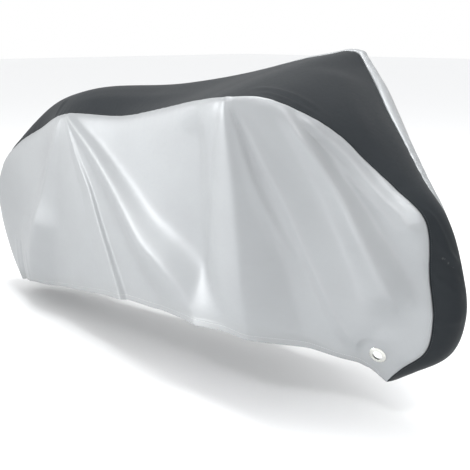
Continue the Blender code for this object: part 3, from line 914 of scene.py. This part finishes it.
        # five times as close at the seam, and three and a half times at the hem
        density = 1 + 4 * np.exp(-share / 0.02) + 2.5 * np.exp(-(1 - share) / 0.03)
        count = np.concatenate([[0.0], np.cumsum((density[1:] + density[:-1]) / 2)])
        return np.interp(np.linspace(0, count[-1], rows + 1), count, share)

    def _panel(self, side: Side, share: np.ndarray) -> np.ndarray:
        """Lofts one side panel.

        Args:
            side: Which panel.
            share: The shares of the way down at which its rows lie.

        Returns:
            Its points, columns by rows, from the seam down to the hem.
        """
        seam, hem = self.measures[side.value], self.measures[f"{side.value}_hem"]
        brow, belly = self.measures[f"{side.value}_brow"], self.measures["belly"]
        way = side.outwards
        turned = 1 - np.exp(-share / self.brow_depth)
        down = (share * turned)[None, :, None]
        stand_out = turned * (1 - share) ** self.brow_fall
        return (
            seam[:, None, :] * (1 - down)
            + hem[:, None, :] * down
            + np.array([0.0, way, self.rises[side]]) * (brow[:, None] * stand_out)[:, :, None]
            + np.array([0.0, way, 0.0]) * (belly[:, None] * np.sin(np.pi * share))[:, :, None]
        )

    def _band(self) -> np.ndarray:
        """Lofts the centre band.

        Returns:
            Its points, columns by rows, from the near seam to the far seam.
        """
        near, far = self.measures["near"], self.measures["far"]
        even = np.linspace(-1, 1, self.band_rows + 1)
        share = 0.5 + 0.5 * np.sin(even * self.band_crowding) / math.sin(self.band_crowding)
        across = far - near
        along = np.gradient((near + far) / 2, axis=0)
        upwards = np.cross(along, across)
        upwards /= np.linalg.norm(upwards, axis=1)[:, None]
        rise = self.measures["crown"][:, None] * (1 - np.abs(2 * share - 1) ** self.crown_fullness)
        return (
            near[:, None, :]
            + across[:, None, :] * share[None, :, None]
            + upwards[:, None, :] * rise[:, :, None]
        )

    def _fold_heights(self, place: np.ndarray, folds: tuple[Fold, ...]) -> np.ndarray:
        """Works out how far the folds lift each point of the cloth.

        Args:
            place: The two coordinates of each point that the folds' crests are given in.
            folds: The folds on it.

        Returns:
            The lift along the normal at each point.
        """
        heights = np.zeros(place.shape[:2])
        for fold in folds:
            points = np.array(fold.crest)
            knots = line_lengths(points)
            last = self.crest_samples - 1
            crest = read_smoothly(knots, points, np.linspace(0, knots[-1], last + 1))
            line = np.gradient(crest, axis=0)
            step = np.linalg.norm(line, axis=1)
            line /= step[:, None]
            margin = self.fold_reach * max(*fold.behind, *fold.ahead)
            low, high = crest.min(axis=0) - margin, crest.max(axis=0) + margin
            close = ((place > low) & (place < high)).all(axis=2)
            spots = place[close]
            nearest = np.linalg.norm(spots[:, None, :] - crest[None, :, :], axis=2).argmin(axis=1)
            offset = spots - crest[nearest]
            onward = (offset * line[nearest]).sum(axis=1)
            aside = offset[:, 1] * line[nearest, 0] - offset[:, 0] * line[nearest, 1]
            raw = nearest + onward / step[nearest]
            share = np.clip(raw / last, 0, 1)
            beyond = (raw - share * last) * step[nearest]
            behind, ahead = fold.widths(share)
            flank = np.hypot(aside, beyond) / np.where(aside > 0, ahead, behind)
            fall = np.sqrt(flank ** 2 + fold.crest_round ** 2) - fold.crest_round
            tent = 0.5 * (1 - fall + np.sqrt((1 - fall) ** 2 + fold.foot_round ** 2))
            swell = (behind + ahead) / max(sum(pair) for pair in zip(fold.behind, fold.ahead))
            swell = swell * (1 - (1 - fold.end_share) * smoothstep(0.5, 1.0, share))
            for way_in in (share, 1 - share) if fold.fade else ():
                swell = swell * smoothstep(0.0, fold.fade, way_in)
            heights[close] += fold.height * swell * tent
        return heights

    def _sewn_heights(self) -> np.ndarray:
        """Works out the small relief that sewing gives: sunk seams with puckers, and thick hems.

        Returns:
            How far it lifts each point of the cloth.
        """
        heights = np.zeros(self.points.shape[:2])
        down = run_lengths(self.points, 1)
        along = run_lengths(self.points, 0)
        for seam, seed in ((self.near_seam, 3), (self.far_seam, 4)):
            away = np.abs(down - down[:, [seam]])
            run = along[:, [seam]]
            # puckers are drawn out across the seam, and come and go along it
            ripple = wander(run, away * 0.35, self.pucker_length, seed)
            fade = np.exp(-away / (1.3 * self.pucker_length))
            strength = 0.6 + 0.8 * wander(run, 0.0 * run, 0.3, seed + 10)
            heights += self.pucker_height * ripple * fade * strength
            heights -= self.seam_depth * np.exp(-(away / self.seam_width) ** 2)
        depth, inset, width = self.hem_groove
        for hem in (0, self.last_row):
            away = np.abs(down - down[:, [hem]])
            step = smoothstep(self.hem_width, self.hem_width + 2 * MM, away)
            heights += self.hem_height * (1 - step)
            heights -= depth * np.exp(-((away - self.hem_width + inset) / width) ** 2)
        return heights

    def eyelet_seat(self, side: Side) -> tuple[np.ndarray, np.ndarray]:
        """Reads an eyelet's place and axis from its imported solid, in ground coordinates.

        Args:
            side: Which eyelet.

        Returns:
            The middle of the ring, and the unit axis that points out of the cloth.
        """
        solid = bpy.data.objects[f"eyelet_{side.value}"].data
        corners = np.empty(len(solid.vertices) * 3)
        solid.vertices.foreach_get("co", corners)
        corners = corners.reshape(-1, 3)
        middle = (corners.min(axis=0) + corners.max(axis=0)) / 2
        axis = np.linalg.svd(corners - corners.mean(axis=0), full_matrices=False)[2][2]
        if axis[1] * side.outwards < 0:
            axis = -axis
        return middle + np.array([0.0, 0.0, SUPPORT_HEIGHT]), axis


# The cover's pieces


@dataclass
class ClothSheet:
    """A cut piece of cloth: its grid, thickened, with its back in a finish of its own."""

    name: str
    form: DrapedForm
    span: slice
    nodes: tuple[str, ...]
    slot: Slot
    flat: tuple[float, float]
    flat_area: float
    rests_on: tuple[str, ...] = ()
    thickness: float = 0.9 * MM
    eyelet_hole: float = 14.2 * MM
    pressed_flat: tuple[float, float] = (0.034, 0.058)

    def build(self, face: CoatedPolyester, back: PolyesterBack) -> bpy.types.Object:
        """Args:
            face: The finish of its outer face.
            back: The finish of its inner face.

        Returns:
            The sheet's object.
        """
        outer = self.form.points[:, self.span].copy()
        hidden = self._open_eyelet(outer)
        inner = (outer - surface_normals(outer) * self.thickness)[::2, ::2]
        points = np.concatenate([outer.reshape(-1, 3), inner.reshape(-1, 3)])
        face_quads = self._quads(outer.shape, 0)[~self._all_corners(hidden)]
        back_quads = self._quads(inner.shape, outer.shape[0] * outer.shape[1])
        back_quads = back_quads[~self._all_corners(hidden[::2, ::2])][:, ::-1]
        faces = face_quads.tolist() + back_quads.tolist() + self._rim(outer.shape)
        mesh = mesh_from_arrays(self.name, points, faces)
        self._mark(mesh, outer)
        indices = np.zeros(len(mesh.polygons), dtype=np.int32)
        indices[len(face_quads):len(face_quads) + len(back_quads)] = 1
        piece = place_piece(self.name, mesh, [face.make(), back.make()])
        mesh.polygons.foreach_set("material_index", indices)
        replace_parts(piece, *self.nodes)
        return piece

    @staticmethod
    def _all_corners(marked: np.ndarray) -> np.ndarray:
        """Returns which quads of a grid have all four corners marked."""
        return marked[:-1, :-1] & marked[1:, :-1] & marked[1:, 1:] & marked[:-1, 1:]

    @staticmethod
    def _quads(shape: tuple[int, ...], first: int) -> np.ndarray:
        """Numbers the corners of a grid's quads.

        Args:
            shape: The grid's columns and rows.
            first: The number of its first vertex.

        Returns:
            An array of columns by rows by the 4 corners of each quad.
        """
        number = first + np.arange(shape[0] * shape[1]).reshape(shape[:2])
        return np.stack([number[:-1, :-1], number[1:, :-1], number[1:, 1:], number[:-1, 1:]], axis=2)

    @staticmethod
    def _rim(shape: tuple[int, ...]) -> list[tuple[int, ...]]:
        """Closes the cut edge between the face and the back, whose grid is half as fine.

        Args:
            shape: The face's columns and rows.

        Returns:
            The rim's faces.
        """
        columns, rows = shape[:2]
        back_rows = (rows + 1) // 2
        path = [(c, 0) for c in range(columns - 1)]
        path += [(columns - 1, r) for r in range(rows - 1)]
        path += [(c, rows - 1) for c in range(columns - 1, 0, -1)]
        path += [(0, r) for r in range(rows - 1, 0, -1)]
        face = [c * rows + r for c, r in path]
        back = [columns * rows + (c // 2) * back_rows + r // 2 for c, r in path[::2]]
        face, back = face + face[:1], back + back[:1]
        return [
            (back[n], back[n + 1], face[2 * n + 2], face[2 * n + 1], face[2 * n])
            for n in range(len(back) - 1)
        ]

    def _open_eyelet(self, outer: np.ndarray) -> np.ndarray:
        """Opens the eyelet's hole where the sheet has one.

        Args:
            outer: The sheet's outer points, which are moved to the hole's rim.

        Returns:
            Which points lie inside the hole.
        """
        hidden = np.zeros(outer.shape[:2], dtype=bool)
        for side in Side:
            if f"eyelet_corner_{side.value}" not in self.nodes:
                continue
            middle, axis = self.form.eyelet_seat(side)
            offset = outer - middle
            height = offset @ axis
            level = offset - height[:, :, None] * axis
            reach = np.linalg.norm(level, axis=2)
            flat = 1 - smoothstep(*self.pressed_flat, np.linalg.norm(offset, axis=2))
            outer -= (height * flat)[:, :, None] * axis
            hidden = reach < self.eyelet_hole
            pull = (self.eyelet_hole / np.maximum(reach, 1e-6) - 1) * hidden
            outer += level * pull[:, :, None]
        return hidden

    def _mark(self, mesh: bpy.types.Mesh, outer: np.ndarray) -> None:
        """Stores each point's place on the cloth, which the finishes read.

        Args:
            mesh: The sheet's mesh.
            outer: The grid of its outer points.
        """
        along, down = run_lengths(outer, 0), run_lengths(outer, 1)
        if self.span == self.form.band_span:
            first, second = along, down
            edge = np.minimum(along, along[[-1]] - along)
        else:
            first, second = outer[:, :, 0], outer[:, :, 2]
            edge = down if self.span == self.form.near_span else down[:, [-1]] - down
        place = np.stack([first, second, edge], axis=2)
        place = np.concatenate([place.reshape(-1, 3), place[::2, ::2].reshape(-1, 3)])
        layer = mesh.attributes.new("cloth_place", "FLOAT_VECTOR", "POINT")
        layer.data.foreach_set("vector", place.astype(np.float32).ravel())


@dataclass
class StitchRun:
    """A row of lockstitches along a seam or a hem: short, fat loops that dip at both ends."""

    name: str
    pitch: float = 4.6 * MM
    stitch: float = 3.6 * MM
    thread: float = 0.85 * MM
    sides: int = 6
    rings: int = 5

    @staticmethod
    def _read(run: np.ndarray, values: np.ndarray, where: np.ndarray) -> np.ndarray:
        """Reads the values of a line's points at other places along it.

        Args:
            run: How far along the line each point lies.
            values: Three numbers for each point.
            where: The places to read.

        Returns:
            Three numbers for each place.
        """
        return np.stack([np.interp(where, run, values[:, part]) for part in range(3)], axis=-1)

    def build(
        self, line: np.ndarray, normals: np.ndarray, finish: BondedThread, slot: Slot
    ) -> bpy.types.Object:
        """Builds the stitches.

        Args:
            line: Points along the row, in ground coordinates.
            normals: The cloth's normal at each of them.
            finish: The thread's finish.
            slot: The record's material slot; not used.

        Returns:
            One object with all the stitches.
        """
        run = line_lengths(line)
        starts = np.arange(self.pitch, run[-1] - self.pitch, self.pitch)
        share = np.linspace(0, 1, self.rings)
        where = starts[:, None] + self.stitch * share[None, :]
        centre = self._read(run, line, where)
        normal = self._read(run, normals, where)
        normal /= np.linalg.norm(normal, axis=2)[:, :, None]
        ahead = self._read(run, line, where + 0.2 * MM) - centre
        ahead /= np.linalg.norm(ahead, axis=2)[:, :, None]
        aside = np.cross(normal, ahead)
        # a loop is full in its middle, and thin where it dips into the cloth
        arch = np.sin(np.pi * share)
        radius = 0.5 * self.thread * (0.35 + 0.65 * np.sqrt(arch.clip(0, 1)))
        centre += normal * (0.5 * self.thread * (arch * 0.9 - 0.35))[None, :, None]
        turn = np.arange(self.sides) / self.sides * math.tau
        ring = (
            centre[:, :, None, :]
            + aside[:, :, None, :] * (radius[:, None] * np.cos(turn))[None, :, :, None]
            + normal[:, :, None, :] * (radius[:, None] * np.sin(turn))[None, :, :, None]
        )
        size = self.rings * self.sides
        stitch = self._stitch_faces()
        faces = [tuple(v + n * size for v in face) for n in range(len(starts)) for face in stitch]
        mesh = mesh_from_arrays(self.name, ring.reshape(-1, 3), faces)
        return place_piece(self.name, mesh, [finish.make()])

    def _stitch_faces(self) -> list[tuple[int, ...]]:
        """Numbers the faces of one stitch, ring by ring, with a cap at each end.

        Returns:
            The vertex numbers of each face.
        """
        faces = []
        for first in range(0, (self.rings - 1) * self.sides, self.sides):
            for side in range(self.sides):
                here, there = first + side, first + (side + 1) % self.sides
                faces.append((here, there, there + self.sides, here + self.sides))
        faces.append(tuple(reversed(range(self.sides))))
        faces.append(tuple((self.rings - 1) * self.sides + side for side in range(self.sides)))
        return faces


@dataclass
class Sewing:
    """All the visible stitching: beside both seams, and along the hems."""

    form: DrapedForm
    seam_distance: float = 4.5 * MM
    hem_distance: float = 15 * MM
    rows_searched: int = 40

    def _line(self, edge_row: int, way: int, distance: float) -> tuple[np.ndarray, np.ndarray]:
        """Finds the line that runs along a row of the form at a distance from it.

        Args:
            edge_row: The row that it runs along.
            way: 1 to go towards higher rows, -1 towards lower ones.
            distance: How far from the row.

        Returns:
            The line's points and the cloth's normals there.
        """
        form = self.form
        last = form.last_row if way > 0 else 0
        rows = np.arange(edge_row, last + way, way)[:self.rows_searched]
        grids = form.points[:, rows], form.normals[:, rows]
        runs = run_lengths(grids[0], 1)
        line, normals = (
            np.array([
                [np.interp(distance, run, column[:, part]) for part in range(3)]
                for run, column in zip(runs, grid)
            ])
            for grid in grids
        )
        return line, normals

    def build(self) -> list[bpy.types.Object]:
        """Builds every row of stitches.

        Returns:
            The rows' objects.
        """
        form = self.form
        black, silver = (BLACK_THREAD, Slot.BLACK), (SILVER_THREAD, Slot.SILVER)
        rows = (
            ("near_seam_stitches", form.near_seam, 1, self.seam_distance, black),
            ("far_seam_stitches", form.far_seam, -1, self.seam_distance, black),
            ("near_hem_stitches", 0, 1, self.hem_distance, silver),
            ("far_hem_stitches", form.last_row, -1, self.hem_distance, silver),
        )
        return [
            StitchRun(name).build(*self._line(row, way, distance), *thread)
            for name, row, way, distance, thread in rows
        ]


@dataclass
class PressedEyelet:
    """A pressed eyelet: a rolled flange over the cloth, a neck through it, and a washer under it.

    grip is how far the underside of the washer lies below the foot of the flange.
    """

    side: Side
    form: DrapedForm
    bore: float = 12.5 * MM
    neck: float = 13.9 * MM
    flange: float = 21.5 * MM
    crown: float = 2.3 * MM
    grip: float = 3.5 * MM
    segments: int = 96
    sharp_edge: float = 50.0

    def _profile(self) -> np.ndarray:
        """Draws the section of the ring, once round from the inside of the bore.

        Returns:
            Rows of radius and height above the foot of the flange.
        """
        roll = [
            (self.bore + 0.55 * MM * (1 - math.cos(a)), self.crown * (0.35 + 0.62 * math.sin(a)))
            for a in np.linspace(0, math.pi / 2, 6)
        ]
        top = [
            (self.bore + 2.2 * MM, self.crown),
            (self.bore + 4.4 * MM, self.crown * 0.92),
            (self.flange - 1.6 * MM, self.crown * 0.60),
            (self.flange - 0.7 * MM, self.crown * 0.42),
            (self.flange, self.crown * 0.16),
            (self.flange - 0.1 * MM, 0.0),
            (self.neck, 0.0),
        ]
        washer = [
            (self.neck, 0.9 * MM - self.grip),
            (self.flange - 0.2 * MM, 0.9 * MM - self.grip),
            (self.flange, 0.4 * MM - self.grip),
            (self.flange - 0.6 * MM, -self.grip),
            (self.bore + 1.4 * MM, -0.2 * MM - self.grip),
            (self.bore + 0.3 * MM, 0.3 * MM - self.grip),
            (self.bore, 1.0 * MM - self.grip),
        ]
        return np.array(roll + top + washer)

    def build(self) -> bpy.types.Object:
        """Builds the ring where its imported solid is.

        Returns:
            The eyelet's object.
        """
        middle, axis = self.form.eyelet_seat(self.side)
        profile = self._profile()
        count = len(profile)
        lift = 0.1 * MM - (self.crown - self.grip) / 2
        turn = np.arange(self.segments)[:, None] / self.segments * math.tau
        heights = np.broadcast_to(profile[:, 1] + lift, (self.segments, count))
        ring = np.stack([profile[:, 0] * np.cos(turn), profile[:, 0] * np.sin(turn), heights], axis=2)
        seat = np.array(Vector(axis).to_track_quat("Z", "Y").to_matrix())
        points = ring.reshape(-1, 3) @ seat.T + middle
        faces = []
        for here in range(self.segments):
            there = (here + 1) % self.segments
            for p in range(count):
                q = (p + 1) % count
                faces.append(
                    (here * count + p, here * count + q, there * count + q, there * count + p)
                )
        name = f"pressed_eyelet_{self.side.value}"
        mesh = mesh_from_arrays(name, points, faces)
        shape = bmesh.new()
        shape.from_mesh(mesh)
        bmesh.ops.recalc_face_normals(shape, faces=shape.faces)
        shape.to_mesh(mesh)
        shape.free()
        mesh.set_sharp_from_angle(angle=math.radians(self.sharp_edge))
        piece = place_piece(name, mesh, [NICKEL.make()])
        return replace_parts(piece, f"eyelet_{self.side.value}")


# The studio


@dataclass(frozen=True)
class Softbox:
    """A square softbox. A narrow spread is a grid on its front, which keeps its light to its aim."""

    name: str
    place: tuple[float, float, float]
    aim: tuple[float, float, float]
    size: float
    power: float
    spread: float = 180.0

    def hang(self) -> None:
        """Adds the light to the scene."""
        data = bpy.data.lights.new(self.name, "AREA")
        data.size = self.size
        data.energy = self.power
        data.spread = math.radians(self.spread)
        light = bpy.data.objects.new(self.name, data)
        light.location = self.place
        aim = Vector(self.place) - Vector(self.aim)
        light.rotation_euler = aim.to_track_quat("Z", "Y").to_euler()
        bpy.context.scene.collection.objects.link(light)


@dataclass
class Studio:
    """A plain pale floor, soft lights and the camera.

    The key comes low from the rear and is gridded, so that it models the folds without flooding
    the rear of the cover, which is nearer to it. A small gridded light skims the folds from behind,
    and another lifts the slope at the front.
    """

    camera_place: tuple[float, float, float] = (1.969, -1.678, 0.968)
    azimuth: float = 45.9
    elevation: float = 13.2
    sensor: float = 36.0
    focal_pixels: float = 855.0
    frame_pixels: float = 470.0
    floor_reach: float = 30.0
    floor_colour: str = "#f4f5f6"
    floor_roughness: float = 0.9
    sky_colour: str = "#ffffff"
    softboxes: tuple[Softbox, ...] = (
        Softbox("key_softbox", (-3.4, -4.6, 0.4), (1.4, -0.3, -0.1), 2.4, 31.0, spread=50.0),
        Softbox("rear_softbox", (-3.6, -0.9, 0.0), (1.0, -0.3, -0.1), 0.6, 0.2, spread=22.0),
        Softbox("fill_softbox", (3.2, -4.0, 1.6), (0.8, -0.2, -0.1), 1.6, 54.0),
        Softbox("slope_softbox", (2.4, -3.0, 2.6), (0.85, -0.12, -0.2), 0.8, 1.8, spread=25.0),
        Softbox("top_softbox", (0.0, 0.0, 4.0), (0.0, 0.0, 0.0), 2.0, 190.0),
    )

    def build(self) -> None:
        """Sets up the floor, the world, the lights and the camera."""
        self._floor()
        self._world()
        for softbox in self.softboxes:
            softbox.hang()
        self._camera()
        bpy.context.scene.view_settings.view_transform = "Standard"

    def _floor(self) -> None:
        """Lays a wide floor at ground level."""
        mesh = bpy.data.meshes.new("studio_floor")
        reach = self.floor_reach
        corners = [(-reach, -reach), (reach, -reach), (reach, reach), (-reach, reach)]
        mesh.from_pydata([(x, y, -SUPPORT_HEIGHT) for x, y in corners], [], [(0, 1, 2, 3)])
        material = bpy.data.materials.new("studio_floor_paint")
        material.use_nodes = True
        tree = material.node_tree
        paint = {"Base Color": linear(self.floor_colour), "Roughness": self.floor_roughness}
        fill_sockets(tree, tree.nodes["Principled BSDF"], paint)
        mesh.materials.append(material)
        floor = bpy.data.objects.new("studio_floor", mesh)
        bpy.context.scene.collection.objects.link(floor)

    def _world(self) -> None:
        """Surrounds the scene with even white light."""
        world = bpy.data.worlds.new("studio_world")
        world.use_nodes = True
        tree = world.node_tree
        light = {"Color": linear(self.sky_colour), "Strength": 1.0}
        fill_sockets(tree, tree.nodes["Background"], light)
        bpy.context.scene.world = world

    def _camera(self) -> None:
        """Sets the camera at the photograph's angle."""
        a, e = math.radians(self.azimuth), math.radians(self.elevation)
        back = Vector((math.sin(a) * math.cos(e), -math.cos(a) * math.cos(e), math.sin(e)))
        data = bpy.data.cameras.new("studio_camera")
        data.sensor_width = self.sensor
        data.lens = self.focal_pixels / self.frame_pixels * self.sensor
        camera = bpy.data.objects.new("studio_camera", data)
        place = Vector(self.camera_place) - Vector((0.0, 0.0, SUPPORT_HEIGHT))
        turned = back.to_track_quat("Z", "Y").to_matrix().to_4x4()
        camera.matrix_world = Matrix.Translation(place) @ turned
        bpy.context.scene.collection.objects.link(camera)
        bpy.context.scene.camera = camera


def panel_nodes(side: Side) -> tuple[str, ...]:
    """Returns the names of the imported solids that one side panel's cloth stands for."""
    lengths = tuple(f"side_panel_{side.value}_{length}" for length in ("rear", "middle", "front"))
    return (*lengths, f"eyelet_corner_{side.value}")


def main() -> None:
    """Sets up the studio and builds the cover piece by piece."""
    logging.basicConfig(level=logging.INFO, format="%(name)s %(message)s")
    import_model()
    Studio().build()
    form = DrapedForm()
    ClothSheet(
        "centre_band_cloth", form, form.band_span, ("centre_band",), Slot.BLACK,
        flat=(0.66, 3.30), flat_area=0.82,
    ).build(BLACK_CLOTH, BLACK_BACK)
    for side, span, width, area in (
        (Side.NEAR, form.near_span, 0.86, 1.20), (Side.FAR, form.far_span, 0.92, 1.30),
    ):
        ClothSheet(
            f"{side.value}_panel_cloth", form, span, panel_nodes(side), Slot.SILVER,
            flat=(width, 2.15), flat_area=area, rests_on=("centre_band_cloth",),
        ).build(SILVER_CLOTH, SILVER_BACK)
    Sewing(form).build()
    for side in Side:
        PressedEyelet(side, form).build()
    bpy.context.view_layer.update()


if __name__ == "__main__":
    main()
